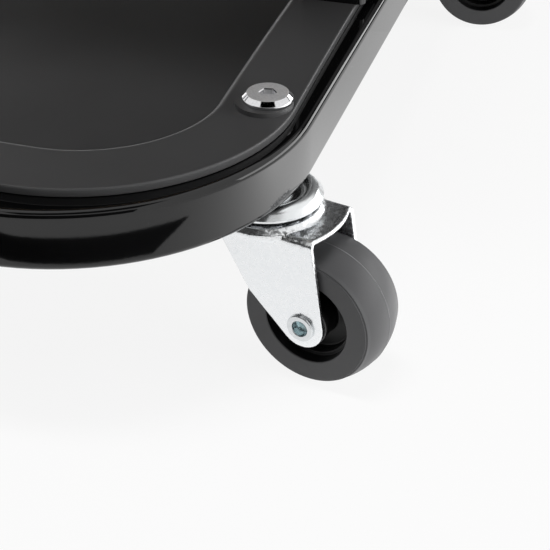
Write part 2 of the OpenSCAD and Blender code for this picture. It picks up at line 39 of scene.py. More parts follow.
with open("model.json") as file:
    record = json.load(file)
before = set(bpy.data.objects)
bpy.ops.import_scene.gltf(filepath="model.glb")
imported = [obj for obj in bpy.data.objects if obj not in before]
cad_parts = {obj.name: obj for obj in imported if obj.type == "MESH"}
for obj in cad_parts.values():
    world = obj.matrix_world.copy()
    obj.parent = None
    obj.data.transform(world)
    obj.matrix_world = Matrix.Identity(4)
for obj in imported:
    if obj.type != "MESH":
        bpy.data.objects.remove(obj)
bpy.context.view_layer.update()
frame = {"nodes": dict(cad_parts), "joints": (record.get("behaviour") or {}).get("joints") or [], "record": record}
joints = {joint["name"]: joint for joint in frame["joints"]}

# Sizes that the frame gives
ring_low, ring_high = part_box("base_ring")
tray_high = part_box("tool_tray")[1]
board_low, board_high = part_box("seat_board")
cushion_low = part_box("seat_cushion")[0]
RING_HX, RING_HY = ring_high.x, ring_high.y
FLANGE_TOP = tray_high.z
BOARD_HX, BOARD_HY = board_high.x, board_high.y

# Ring and arches
RING_CORNER_R = 80 * MM
TUBE_WIDE = 25 * MM
TUBE_DEEP = 20 * MM
TUBE_EDGE_R = 2.5 * MM
ARCH_BEND_R = 45 * MM

# Tray: its outline's corners and waist, its flange, and its section
TRAY_CORNER_R = 68 * MM
TRAY_WAIST = 2 * MM
TRAY_T = 3 * MM
TRAY_LIP_R = 0.6 * MM
TRAY_EDGE_ROUND = 0.5 * MM
FLANGE_SIDE = 22.3 * MM
FLANGE_END = 22.2 * MM
BASIN_CORNER_R = 45.5 * MM
BASIN_DEPTH = 24 * MM
BASIN_LEAN = math.radians(8)
BASIN_EDGE_R = 3.2 * MM
BASIN_FLOOR_R = 7 * MM

# Tray bolts; TURNED_DEPTH and TURNED_FACING say which of a head's faces show a lathe's marks
BOLT_X, BOLT_Y = 163.1 * MM, 137.2 * MM
BOLT_TURN = math.radians(12)
BOLT_R = 3 * MM
BOLT_TIP_ROUND = 0.4 * MM
BOLT_NECK_ROUND = 0.1 * MM
BOLT_HEAD_R = 8.15 * MM
BOLT_HEAD_H = 2.5 * MM
BOLT_BEVEL = 1.45 * MM
BOLT_RIM_ROUNDS = (0.3 * MM, 0.25 * MM, 0.2 * MM)
BOLT_LENGTH = 15 * MM
SOCKET_FLAT = 4.7 * MM
SOCKET_DEPTH = 1.8 * MM
SOCKET_CHAMFER_W = 0.5 * MM
SOCKET_CHAMFER_H = 0.3 * MM
SOCKET_CONE = 0.4 * MM
TURNED_DEPTH = 2.8 * MM
TURNED_FACING = 0.8
WASHER_T = 1.6 * MM

# Wheels: section, with q along the axle from the middle, parting line, groove beside the face, mould mark,
# and how far inside the recess its painted shade starts
WHEEL_R = 25 * MM
WHEEL_HALF_W = 11.25 * MM
TREAD_DROP = 2.7 * MM
TREAD_EDGE = 0.9 * MM
TREAD_ROUND = 0.3 * MM
TREAD_STEPS = 19
RECESS_R = 15 * MM
RECESS_MOUTH_ROUND = 0.45 * MM
RECESS_STEP = 1.6 * MM
RECESS_STEP_DEPTH = 4 * MM
RECESS_STEP_ROUND = 0.25 * MM
RECESS_DRAFT = 0.3 * MM
WEB_T = 6 * MM
WEB_ROUND = 0.8 * MM
HUB_R = 8 * MM
HUB_Q = 11.95 * MM
HUB_DRAFT = 0.4 * MM
HUB_ROUND = 0.4 * MM
WHEEL_BORE_R = 4.53 * MM
WHEEL_BORE_ROUND = 0.2 * MM
LINE_W = 0.16 * MM
LINE_H = 0.12 * MM
GROOVE = 0.4 * MM
GROOVE_SLOPE = 0.6 * GROOVE
GROOVE_MOUTH_ROUND = 0.15 * MM
GROOVE_FLOOR_ROUND = 0.05 * MM
MARK_TURN = math.radians(-94)
MARK_IN_R = 2.45 * MM
MARK_OUT_R = 2.6 * MM
MARK_SLOPE = 0.03 * MM
MARK_H = 0.06 * MM
MARK_SINK = 0.02 * MM
MARK_STEPS = 40
SHADE_MARGIN_R = 0.1 * MM
SHADE_MARGIN_Q = 0.3 * MM

# Fork and its rivet
FORK_HALF_W = 14.15 * MM
FORK_VOXEL = 0.35 * MM
FORK_EASE_TIMES = 6
RIVET_R = 3.5 * MM
RIVET_BORE_R = 2.8 * MM
RIVET_MOUTH_ROUND = 0.35 * MM
RIVET_HEAD_R = 4.8 * MM
RIVET_HEAD_T = 1.2 * MM
RIVET_HEAD_ROUND = 0.7 * MM
RIVET_NECK_ROUND = 0.1 * MM
BORE_DEPTH = 3.2 * MM
BORE_PLUG_T = 2 * MM
BORE_DISH = 0.6 * MM
BORE_DISH_EDGE = 0.4 * MM
BORE_DISH_SHARE = 0.6

# Cap over the balls; its arc runs from the dish to the rim, in degrees
RACE_Z = 59.2 * MM
BALL_R = 2.4 * MM
BALL_Z = 61.2 * MM
BALL_RING_R = 14.2 * MM
CAP_GAP = 0.05 * MM
CAP_T = 1.2 * MM
CAP_R = 18.3 * MM
CAP_ARC_R = BALL_R + CAP_GAP + CAP_T
CAP_RIM_Z = 61.25 * MM
CAP_RIM_H = 0.8 * MM
CAP_IN_ROUND = 0.2 * MM
CAP_OUT_ROUND = 0.25 * MM
DISH_ANGLE = 150
RIM_ANGLE = 40
DISH_Z = BALL_Z + CAP_ARC_R * math.sin(math.radians(DISH_ANGLE))
DISH_R = BALL_RING_R + CAP_ARC_R * math.cos(math.radians(DISH_ANGLE))

# Stem
PIN_R = 4 * MM
PIN_HEAD_R = 7.4 * MM
PIN_HEAD_T = 2 * MM
PIN_TOP_Z = RACE_Z - 2.1 * MM
COLLAR_R = 8.4 * MM
COLLAR_T = 1.2 * MM
NECK_R = 6.6 * MM
STEM_R = 5 * MM
STEM_TOP_Z = 74.6 * MM
STEM_ROUND = 0.3 * MM

# Cushion: it is tucked in and remeshed, blown up and eased, and its top swells unevenly at last
CUSHION_SIDE = 30 * MM
CUSHION_TUCK = 1.5 * MM
CUSHION_VOXEL = 5 * MM
CUSHION_EASE_TIMES = 8
EASE_FACTOR = 0.5
BLOW_FRAMES = 20
BLOW_PRESSURE = 4.0
BLOW_CAP = 6 * MM
BLOW_HELD_H = 4 * MM
SWELL_H = 0.8 * MM
SWELL_RATE = 18

# Seam: its groove, the small folds that run from it, the welt on it and the stitches below it
SEAM_SHARE = 0.8
SEAM_REACH = 9 * MM
SEAM_EDGE = 30 * MM
SEAM_DEPTH = 1.6 * MM
SEAM_W = 2.2 * MM
FOLD_DEPTH = 0.5 * MM
FOLD_FADE = 3
FOLD_COUNT = 60
FOLD_WANDER = 4
FOLD_RATE = 60
WELT_R = 2.2 * MM
STITCH_BELOW = 4 * MM
STITCH_PITCH = 5 * MM
STITCH_HALF = 1.7 * MM
STITCH_R = 0.35 * MM
STITCH_RISE = 0.3 * MM
STITCH_CROWN_SHARE = 0.6

# How far outside the board's edge the rays start that look for the cushion's surface
OUTSIDE = 60 * MM

# Cover's hem round the board, its pleats and its staples
BOARD_CORNER_R = 46 * MM
COVER_T = 1.3 * MM
HEM_SIDE_GAP = 0.1 * MM
HEM_FLAT_GAP = 0.05 * MM
HEM_RISE = 2.5 * MM
HEM_LIP_W = 4 * MM
HEM_W = 22 * MM
HEM_TOP_ROUND = 0.9 * MM
HEM_LIP_ROUND = 0.3 * MM
HEM_LIP_INNER_ROUND = 0.1 * MM
HEM_FOLD_ROUND = 0.2 * MM
HEM_END_ROUND = 0.5 * MM
HEM_LOW_ROUND = 1.8 * MM
PLEAT_DEPTH = 0.8 * MM
PLEAT_RATE = 14
STAPLE_IN = 14 * MM
STAPLE_PITCH = 26 * MM
STAPLE_HALF = 5 * MM
STAPLE_R = 0.45 * MM
STAPLE_RISE = 0.5 * MM
STAPLE_CROWN_SHARE = 0.94

# Steps round a corner, along a side, round a fillet, and round a turned piece, and the sides of rods
CORNER_STEPS = 28
SIDE_STEPS = 36
FILLET_STEPS = 5
TURN_STEPS = 144
ROD_SIDES = 10
THIN_SIDES = 6

# The share of a line's length that a fillet at one of its ends may take
FILLET_SHARE = 0.49

# Points closer than this are one, and edges sharper than so many degrees stay sharp
WELD = 1e-7
CUSHION_WELD = 1e-6
BOLT_SHARP = 28
SOLID_SHARP = 35
TRAY_SHARP = 50
FORK_SHARP = 60
CUSHION_SHARP = 80

# The colour sockets of a Mix node, which share their names with its other sockets
MIX_A, MIX_B, MIX_RESULT = 6, 7, 2

# How many times finer layers are added to a noise
NOISE_DETAIL = 3


# Node materials

def link(tree, source, target):
    tree.links.new(source, target)


def ramped(tree, factor, low, high):
    """The output of a Map Range node that takes factor from 0..1 to low..high."""
    node = tree.nodes.new("ShaderNodeMapRange")
    node.inputs["To Min"].default_value = low
    node.inputs["To Max"].default_value = high
    link(tree, factor, node.inputs["Value"])
    return node.outputs["Result"]


def tinted(tree, factor, dark, light):
    """A colour between dark and light."""
    node = tree.nodes.new("ShaderNodeMix")
    node.data_type = "RGBA"
    node.inputs[MIX_A].default_value = (*dark, 1)
    node.inputs[MIX_B].default_value = (*light, 1)
    link(tree, factor, node.inputs["Factor"])
    return node.outputs[MIX_RESULT]


def speckle(tree, place, size, cells=False):
    """A noise node, or one of cells, whose features are size metres wide."""
    node = tree.nodes.new("ShaderNodeTexVoronoi" if cells else "ShaderNodeTexNoise")
    node.inputs["Scale"].default_value = 1 / size
    node.inputs["Detail"].default_value = 0 if cells else NOISE_DETAIL
    link(tree, place, node.inputs["Vector"])
    return node


def vector_math(tree, operation, *values):
    """A Vector Math node's output; each value is a socket or a constant vector."""
    node = tree.nodes.new("ShaderNodeVectorMath")
    node.operation = operation
    for socket, value in zip(node.inputs, values):
        if isinstance(value, tuple):
            socket.default_value = value
        else:
            link(tree, value, socket)
    return node.outputs[0]


def finish(name, dark, light, rough, patch, grain, bump, metallic=0.0, cells=False, depth=0.1 * MM,
           stretch=(1, 1, 1), **sockets):
    """A material whose colour and roughness drift over patches, with a fine grain in its bump.

    rough is the range of its roughness. patch and grain are how wide their features are, bump is how strong
    the grain shows, and depth is how deep it goes.
    """
    made = bpy.data.materials.new(name)
    made.use_nodes = True
    tree = made.node_tree
    shader = tree.nodes["Principled BSDF"]
    spread = tree.nodes.new("ShaderNodeMapping")
    spread.inputs["Scale"].default_value = stretch
    link(tree, tree.nodes.new("ShaderNodeTexCoord").outputs["Object"], spread.inputs["Vector"])
    place = spread.outputs["Vector"]
    broad = speckle(tree, place, patch)
    fine = speckle(tree, place, grain, cells=cells)
    link(tree, tinted(tree, broad.outputs[0], dark, light), shader.inputs["Base Color"])
    link(tree, ramped(tree, broad.outputs[0], *rough), shader.inputs["Roughness"])
    relief = tree.nodes.new("ShaderNodeBump")
    relief.inputs["Strength"].default_value = bump
    relief.inputs["Distance"].default_value = depth
    link(tree, fine.outputs[0], relief.inputs["Height"])
    link(tree, relief.outputs["Normal"], shader.inputs["Normal"])
    shader.inputs["Metallic"].default_value = metallic
    for socket, value in sockets.items():
        shader.inputs[socket.replace("_", " ")].default_value = value
    return made


def spangled(name, dark, light, rough, crystal, scratch, bump, depth, tilt):
    """Bright zinc: crystals that lean a little and differ in grey and polish, under fine scratches."""
    made = finish(name, dark, light, rough, crystal, scratch, bump, metallic=1.0, depth=depth)
    tree = made.node_tree
    shader = tree.nodes["Principled BSDF"]
    place = next(n for n in tree.nodes if n.type == "TEX_COORD").outputs["Object"]
    crystals = speckle(tree, place, crystal, cells=True).outputs["Color"]
    link(tree, tinted(tree, crystals, dark, light), shader.inputs["Base Color"])
    link(tree, ramped(tree, crystals, *rough), shader.inputs["Roughness"])
    normal = tree.nodes.new("ShaderNodeNewGeometry").outputs["Normal"]
    middle = vector_math(tree, "SUBTRACT", normal, (tilt / 2,) * 3)
    lean = vector_math(tree, "MULTIPLY_ADD", crystals, (tilt,) * 3, middle)
    relief = next(n for n in tree.nodes if n.type == "BUMP")
    link(tree, vector_math(tree, "NORMALIZE", lean), relief.inputs["Normal"])
    return made


PAINT = finish("gloss_paint", (0.002, 0.002, 0.0021), (0.004, 0.004, 0.0042), rough=(0.03, 0.055),
               patch=50 * MM, grain=2.5 * MM, bump=0.05, depth=0.05 * MM)
TRAY = finish("tray_finish", (0.049, 0.049, 0.05), (0.059, 0.059, 0.06), rough=(0.3, 0.36),
              patch=30 * MM, grain=0.4 * MM, bump=0.12, depth=0.05 * MM, Specular_IOR_Level=0.35)
BOLT = finish("bolt_zinc", (0.62, 0.62, 0.63), (0.8, 0.8, 0.81), rough=(0.06, 0.1),
              patch=0.6 * MM, grain=0.25 * MM, bump=0.03, depth=0.03 * MM, metallic=1.0)
TURNED = finish("turned_zinc", (0.5, 0.5, 0.51), (0.85, 0.85, 0.86), rough=(0.45, 0.6),
                patch=0.5 * MM, grain=0.2 * MM, bump=0.3, depth=0.05 * MM, metallic=0.7)
BLACK_OXIDE = finish("black_oxide", (0.04, 0.04, 0.041), (0.055, 0.055, 0.056), rough=(0.35, 0.5),
                     patch=3 * MM, grain=0.4 * MM, bump=0.15)
STEEL = finish("plain_steel", (0.36, 0.37, 0.39), (0.5, 0.51, 0.53), rough=(0.25, 0.42),
               patch=2 * MM, grain=0.3 * MM, bump=0.12, metallic=1.0)
ZINC = spangled("bright_zinc", (0.82, 0.84, 0.855), (0.88, 0.89, 0.9), rough=(0.2, 0.3),
                crystal=1.1 * MM, scratch=0.3 * MM, bump=0.06, depth=0.04 * MM, tilt=0.13)
TURNED_ZINC = finish("turned_zinc_cap", (0.76, 0.79, 0.8), (0.9, 0.91, 0.92), rough=(0.22, 0.3),
                     patch=4 * MM, grain=0.4 * MM, bump=0.05, depth=0.04 * MM, metallic=1.0)
RIVET = finish("rivet_zinc", (0.6, 0.62, 0.63), (0.76, 0.78, 0.79), rough=(0.16, 0.26),
               patch=1.5 * MM, grain=0.3 * MM, bump=0.08, depth=0.05 * MM, metallic=1.0)
BLUE_ZINC = finish("blue_zinc", (0.3, 0.52, 0.57), (0.66, 0.8, 0.82), rough=(0.12, 0.25),
                   patch=1.2 * MM, grain=0.2 * MM, bump=0.1, depth=0.05 * MM, metallic=1.0)
WHEEL = finish("wheel_plastic", (0.042, 0.042, 0.044), (0.056, 0.056, 0.058), rough=(0.42, 0.55),
               patch=6 * MM, grain=0.5 * MM, bump=0.15, depth=0.06 * MM)
# A lighter grey along the wheel's parting line
PALE_LINE = finish("parting_line", (0.04, 0.04, 0.041), (0.32, 0.32, 0.33), rough=(0.45, 0.6),
               patch=4 * MM, grain=0.5 * MM, bump=0.2, depth=0.06 * MM)
# Painted shade: a near-black copy of the wheel's plastic, laid on its recess, web and hub
RECESS_SHADE = finish("wheel_recess_shade", (0.005, 0.005, 0.0052), (0.009, 0.009, 0.0092), rough=(0.35, 0.5),
              patch=6 * MM, grain=0.5 * MM, bump=0.12, depth=0.06 * MM, Specular_IOR_Level=0.3)
VINYL = finish("seat_vinyl", (0.016, 0.016, 0.017), (0.024, 0.024, 0.025), rough=(0.36, 0.5),
               patch=20 * MM, grain=1.3 * MM, bump=0.25, depth=0.2 * MM, cells=True)
THREAD = finish("seam_thread", (0.03, 0.03, 0.032), (0.06, 0.06, 0.062), rough=(0.55, 0.75),
                patch=2 * MM, grain=0.4 * MM, bump=0.4)
BOARD = finish("birch_plywood", (0.42, 0.27, 0.14), (0.66, 0.48, 0.3), rough=(0.5, 0.68),
               patch=6 * MM, grain=1.2 * MM, bump=0.3, stretch=(1, 0.06, 1))


# Mesh code

def placed(name, data):
    """A new object in the scene."""
    made = bpy.data.objects.new(name, data)
    bpy.context.collection.objects.link(made)
    return made


def solid(name, parts, material, body, nodes=(), sharp=SOLID_SHARP):
    """Makes one piece of several (points, faces) parts, smooth except at sharp edges."""
    work = bmesh.new()
    for points, faces in parts:
        made = [work.verts.new(p) for p in points]
        for face in faces:
            work.faces.new([made[i] for i in face])
    bmesh.ops.remove_doubles(work, verts=work.verts, dist=WELD)
    bmesh.ops.recalc_face_normals(work, faces=work.faces)
    mesh = bpy.data.meshes.new(name)
    work.to_mesh(mesh)
    work.free()
    mesh.materials.append(material)
    piece = placed(name, mesh)
    dress(piece, sharp)
    flats = piece.modifiers.new("flats", "WEIGHTED_NORMAL")
    flats.keep_sharp = True
    flats.weight = 100
    return fitted(piece, body, nodes)


def dress(piece, sharp):
    """Smooth shading, with edges sharper than so many degrees kept."""
    piece.data.shade_smooth()
    piece.data.set_sharp_from_angle(angle=math.radians(sharp))


def fitted(piece, body, nodes=()):
    """Says what a piece rides on and hides the nodes it stands for."""
    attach(piece, body)
    if nodes:
        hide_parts(*nodes)
    return piece


def welded(node, name, reach):
    """A copy of a CAD node's mesh, with points closer than reach joined."""
    work = bmesh.new()
    work.from_mesh(frame["nodes"][node].data)
    bmesh.ops.remove_doubles(work, verts=work.verts, dist=reach)
    mesh = bpy.data.meshes.new(name)
    work.to_mesh(mesh)
    work.free()
    return mesh


def remesh(piece, voxel):
    """Gives a piece even faces, each about one voxel wide."""
    made = piece.modifiers.new("even", "REMESH")
    made.mode = "VOXEL"
    made.voxel_size = voxel


def ease(piece, times):
    """Smooths a piece's unevenness away, so many times over."""
    made = piece.modifiers.new("ease", "SMOOTH")
    made.factor = EASE_FACTOR
    made.iterations = times


def bake(piece):
    """Puts what a piece's modifiers make into its own mesh."""
    made = bpy.data.meshes.new_from_object(piece.evaluated_get(bpy.context.evaluated_depsgraph_get()))
    piece.modifiers.clear()
    piece.data = made
    return made


def skin(rings, ends=True, ring_shaped=False):
    """Points and faces of a skin over rings of points; ring_shaped joins the last ring to the first."""
    n, m = len(rings[0]), len(rings)
    points = [p for ring in rings for p in ring]
    faces = []
    for j in range(m if ring_shaped else m - 1):
        k = (j + 1) % m
        faces += [(j * n + i, j * n + (i + 1) % n, k * n + (i + 1) % n, k * n + i) for i in range(n)]
    if ends and not ring_shaped:
        faces += [tuple(range(n)), tuple(reversed(range((m - 1) * n, m * n)))]
    return points, faces


def moved(part, matrix):
    points, faces = part
    return [matrix @ Vector(p) for p in points], faces


def filleted(corners, closed=True):
    """An outline through (x, y, radius) corners, each rounded off by its radius."""
    out = []
    count = len(corners)
    for i, (x, y, radius) in enumerate(corners):
        here = Vector((x, y))
        end = not closed and i in (0, count - 1)
        if radius == 0 or end:
            out.append(here)
            continue
        back = Vector(corners[i - 1][:2]) - here
        on = Vector(corners[(i + 1) % count][:2]) - here
        half = back.angle(on) / 2
        room = FILLET_SHARE * min(back.length, on.length)
        reach = min(radius / math.tan(half), room)
        centre = here + (back.normalized() + on.normalized()).normalized() * reach / math.cos(half)
        first = here + back.normalized() * reach - centre
        last = here + on.normalized() * reach - centre
        angle = math.pi - 2 * half
        for s in range(FILLET_STEPS + 1):
            t = s / FILLET_STEPS
            out.append(centre + (first * math.sin((1 - t) * angle) + last * math.sin(t * angle))
                       / math.sin(angle))
    return out


def lathe(profile, steps=TURN_STEPS, ends=False):
    """Turns an outline of (radius, height) points round Z: closed, or open from end to end."""
    rings = [[(p[0] * math.cos(a), p[0] * math.sin(a), p[1])
              for a in (2 * math.pi * i / steps for i in range(steps))] for p in profile]
    return skin(rings, ends=ends, ring_shaped=not ends)


def arc(x, y, r, start, end, steps=FILLET_STEPS):
    """Points on an arc, its angles in degrees."""
    angles = [math.radians(start + (end - start) * i / steps) for i in range(steps + 1)]
    return [(x + r * math.cos(a), y + r * math.sin(a)) for a in angles]


def outline(hx, hy, r, waist=0.0):
    """A rounded rectangle of half sizes hx and hy, whose left and right sides bow in by waist."""
    def side(start, end, bow=0.0):
        out = []
        for i in range(1, SIDE_STEPS):
            t = i / SIDE_STEPS
            out.append((start[0] + (end[0] - start[0]) * t + bow * 4 * t * (1 - t),
                        start[1] + (end[1] - start[1]) * t))
        return out

    sx, sy = hx - r, hy - r
    return (arc(sx, sy, r, 0, 90, CORNER_STEPS) + side((sx, hy), (-sx, hy))
            + arc(-sx, sy, r, 90, 180, CORNER_STEPS) + side((-hx, sy), (-hx, -sy), waist)
            + arc(-sx, -sy, r, 180, 270, CORNER_STEPS) + side((-sx, -hy), (sx, -hy))
            + arc(sx, -sy, r, 270, 360, CORNER_STEPS) + side((hx, -sy), (hx, sy), -waist))


def level(points, z):
    return [(x, y, z) for x, y in points]


def tube_section():
    """The tube's outer section, as (out, up) from its middle."""
    w, h = TUBE_WIDE / 2, TUBE_DEEP / 2
    return filleted([(w, h, TUBE_EDGE_R), (-w, h, TUBE_EDGE_R), (-w, -h, TUBE_EDGE_R), (w, -h, TUBE_EDGE_R)])


def rod(path, radius, sides=ROD_SIDES, closed=False):
    """A round tube along a path of points that lies nearly level."""
    rings = []
    count = len(path)
    for i, p in enumerate(path):
        before = path[i - 1] if closed or i else p
        after = path[(i + 1) % count] if closed or i < count - 1 else p
        ahead = (after - before).normalized()
        side = ahead.cross(Vector((0, 0, 1))).normalized()
        up = side.cross(ahead)
        rings.append([p + radius * (side * math.cos(a) + up * math.sin(a))
                      for a in (2 * math.pi * k / sides for k in range(sides))])
    return skin(rings, ring_shaped=closed)


def spaced(loop, pitch):
    """Places at a pitch along a closed loop, each as (number of its stretch, place, direction)."""
    gone = 0.0
    for i, p in enumerate(loop):
        q = loop[(i + 1) % len(loop)]
        span = (q - p).length
        while gone < span:
            yield i, p.lerp(q, gone / span), (q - p).normalized()
            gone += pitch
        gone -= span


def bridge(middle, ahead, foot, crown, share, radius):
    """A thin rod over a place: its feet stand ahead and behind, and its crown is a share as long."""
    return rod([middle - ahead + foot, middle - ahead * share + crown, middle + ahead * share + crown,
                middle + ahead + foot], radius, sides=THIN_SIDES)


# Ring, arches and tray

def build_ring():
    """The ring of bent tube, swept in rings that run round the whole base."""
    mid_z = (ring_low.z + ring_high.z) / 2
    rings = []
    for out, up in tube_section():
        inset = TUBE_WIDE / 2 - out
        rings.append(level(outline(RING_HX - inset, RING_HY - inset, RING_CORNER_R - inset), mid_z + up))
    solid("ring_tube", [skin(rings, ring_shaped=True)], PAINT, "root", ["base_ring"])


def arch_path(low, high):
    """Places up one leg of an arch, over and down the other, each as (x, z, angle of its outside)."""
    leg_x = high.x - TUBE_WIDE / 2
    top_z = high.z - TUBE_WIDE / 2
    bend_x, bend_z = leg_x - ARCH_BEND_R, top_z - ARCH_BEND_R
    leg_steps = SIDE_STEPS // 2
    path = [(leg_x, low.z + (bend_z - low.z) * s / leg_steps, 0.0) for s in range(leg_steps)]
    for i in range(CORNER_STEPS + 1):
        a = math.pi / 2 * i / CORNER_STEPS
        path.append((bend_x + ARCH_BEND_R * math.cos(a), bend_z + ARCH_BEND_R * math.sin(a), a))
    return path + [(-x, z, math.pi - a) for x, z, a in reversed(path)]


def build_arch(name):
    """One arch of bent tube, swept in sections along its path."""
    low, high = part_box(name)
    y = (low.y + high.y) / 2
    rings = [[(x + out * math.cos(a), y + up, z + out * math.sin(a)) for out, up in tube_section()]
             for x, z, a in arch_path(low, high)]
    solid(name + "_tube", [skin(rings)], PAINT, "root", [name])


def build_tray():
    """The tray: flange with a rounded lip, leaning walls and a flat floor, of one thickness."""
    hx, hy = tray_high.x, tray_high.y
    turn = math.pi / 2 - BASIN_LEAN
    edge_inset = BASIN_EDGE_R * math.sin(turn)
    wall_h = BASIN_DEPTH - (BASIN_EDGE_R + BASIN_FLOOR_R) * (1 - math.cos(turn))
    floor_inset = edge_inset + wall_h * math.tan(BASIN_LEAN) + BASIN_FLOOR_R * math.sin(turn)
    floor_z = FLANGE_TOP - BASIN_DEPTH

    def outer(inset, z):
        return level(outline(hx - inset, hy - inset, TRAY_CORNER_R - inset, TRAY_WAIST), z)

    def inner(inset, z):
        return level(outline(hx - FLANGE_SIDE - inset, hy - FLANGE_END - inset, BASIN_CORNER_R - inset,
                             TRAY_WAIST), z)

    def edge(r, start, end):
        return [inner(*p) for p in arc(0, FLANGE_TOP - BASIN_EDGE_R, r, 90 - math.degrees(start),
                                       90 - math.degrees(end), 2 * FILLET_STEPS)]

    def foot(r, start, end):
        return [inner(*p) for p in arc(floor_inset, floor_z + BASIN_FLOOR_R, r, 270 - math.degrees(start),
                                       270 - math.degrees(end), 2 * FILLET_STEPS)]

    low_edge = outer(TRAY_EDGE_ROUND, FLANGE_TOP - TRAY_T)
    rings = (foot(BASIN_FLOOR_R + TRAY_T, 0, turn) + edge(BASIN_EDGE_R - TRAY_T, turn, 0)
             + [low_edge, outer(0, FLANGE_TOP - TRAY_T + TRAY_EDGE_ROUND)]
             + [outer(*p) for p in arc(TRAY_LIP_R, FLANGE_TOP - TRAY_LIP_R, TRAY_LIP_R, 180, 90)]
             + edge(BASIN_EDGE_R, 0, turn) + foot(BASIN_FLOOR_R, turn, 0))
    solid("tray_shell", [skin(rings)], TRAY, "root", ["tool_tray"], sharp=TRAY_SHARP)


def build_tray_bolts():
    """Flat bevelled heads with a hexagon socket, and their shanks, at four places."""
    seat = FLANGE_TOP + WASHER_T
    top = seat + BOLT_HEAD_H
    floor_z = top - SOCKET_DEPTH
    angles = [2 * math.pi * i / TURN_STEPS for i in range(TURN_STEPS)]
    sixth = math.pi / 3

    def socket(flat, z):
        reach = [flat / 2 / math.cos(a % sixth - sixth / 2) for a in angles]
        return [(r * math.cos(a), r * math.sin(a), z) for r, a in zip(reach, angles)]

    low_round, side_round, top_round = BOLT_RIM_ROUNDS
    profile = filleted([
        (0, seat - BOLT_LENGTH, 0), (BOLT_R, seat - BOLT_LENGTH, BOLT_TIP_ROUND),
        (BOLT_R, seat, BOLT_NECK_ROUND), (BOLT_HEAD_R, seat, low_round),
        (BOLT_HEAD_R, top - BOLT_BEVEL, side_round), (BOLT_HEAD_R - BOLT_BEVEL, top, top_round),
        (SOCKET_FLAT, top, 0)], closed=False)
    head = [[(p[0] * math.cos(a), p[0] * math.sin(a), p[1]) for a in angles] for p in profile]
    head += [socket(SOCKET_FLAT + SOCKET_CHAMFER_W, top), socket(SOCKET_FLAT, top - SOCKET_CHAMFER_H),
             socket(SOCKET_FLAT, floor_z), socket(SOCKET_FLAT / 4, floor_z - SOCKET_CONE)]
    turn = Matrix.Rotation(BOLT_TURN, 4, "Z")
    parts = [moved(skin(head), Matrix.Translation((sx * BOLT_X, sy * BOLT_Y, 0)) @ turn)
             for sx in (-1, 1) for sy in (-1, 1)]
    bolts = solid("tray_bolt_set", parts, BOLT, "root", ["tray_bolts"], sharp=BOLT_SHARP)
    bolts.data.materials.append(TURNED)
    for face in bolts.data.polygons:
        if face.center.z > top - TURNED_DEPTH and abs(face.normal.z) > TURNED_FACING:
            face.material_index = 1


# Casters

def cap_part():
    """The cap, rolled over the balls, with its dish and straight rim."""
    bore = PIN_R + CAP_GAP
    inner_r, rim_top = CAP_R - CAP_T, CAP_RIM_Z + CAP_RIM_H
    profile = [(bore, DISH_Z - CAP_T), (DISH_R, DISH_Z - CAP_T)]
    profile += arc(BALL_RING_R, BALL_Z, CAP_ARC_R - CAP_T, DISH_ANGLE, RIM_ANGLE, 2 * FILLET_STEPS)
    profile += filleted([(inner_r, rim_top, 0), (inner_r, CAP_RIM_Z, CAP_IN_ROUND),
                         (CAP_R, CAP_RIM_Z, CAP_OUT_ROUND), (CAP_R, rim_top, 0)], closed=False)
    profile += arc(BALL_RING_R, BALL_Z, CAP_ARC_R, RIM_ANGLE, DISH_ANGLE, 4 * FILLET_STEPS)
    return lathe([Vector(p) for p in profile + [(bore, DISH_Z)]])


def stem_part():
    """The stem: its head under the fork, its collar in the cap's dish and its shank."""
    under = PIN_TOP_Z - PIN_HEAD_T
    collar_z = DISH_Z + COLLAR_T
    return lathe(filleted([
        (0, under, 0), (PIN_HEAD_R, under, 2 * STEM_ROUND), (PIN_HEAD_R, PIN_TOP_Z, STEM_ROUND),
        (PIN_R, PIN_TOP_Z, 0), (PIN_R, DISH_Z, 0), (COLLAR_R, DISH_Z, 0), (COLLAR_R, collar_z, STEM_ROUND),
        (NECK_R, collar_z, STEM_ROUND), (NECK_R, ring_low.z, STEM_ROUND), (STEM_R, ring_low.z, 0),
        (STEM_R, STEM_TOP_Z, 2 * STEM_ROUND), (0, STEM_TOP_Z, 0)], closed=False), ends=True)


def axle_part():
    """The rivet: a hollow pin with a rolled head on each leg of the fork."""
    half = FORK_HALF_W
    tip = half + RIVET_HEAD_T
    corners = [(RIVET_BORE_R, -tip, RIVET_MOUTH_ROUND), (RIVET_HEAD_R, -tip, RIVET_HEAD_ROUND),
               (RIVET_HEAD_R, -half, RIVET_NECK_ROUND), (RIVET_R, -half, 0), (RIVET_R, half, 0),
               (RIVET_HEAD_R, half, RIVET_NECK_ROUND), (RIVET_HEAD_R, tip, RIVET_HEAD_ROUND),
               (RIVET_BORE_R, tip, RIVET_MOUTH_ROUND)]
    return lathe(filleted(corners), steps=TURN_STEPS // 2)


def bore_part(side):
    """The closed bottom of the rivet's hole on one side."""
    deep = FORK_HALF_W + RIVET_HEAD_T - BORE_DEPTH
    profile = [(0, deep - BORE_DISH), (RIVET_BORE_R * BORE_DISH_SHARE, deep - BORE_DISH_EDGE),
               (RIVET_BORE_R, deep), (RIVET_BORE_R, deep - BORE_PLUG_T), (0, deep - BORE_PLUG_T)]
    return moved(lathe([Vector(p) for p in profile], steps=TURN_STEPS // 2, ends=True),
                 Matrix.Rotation(0 if side > 0 else math.pi, 4, "X"))


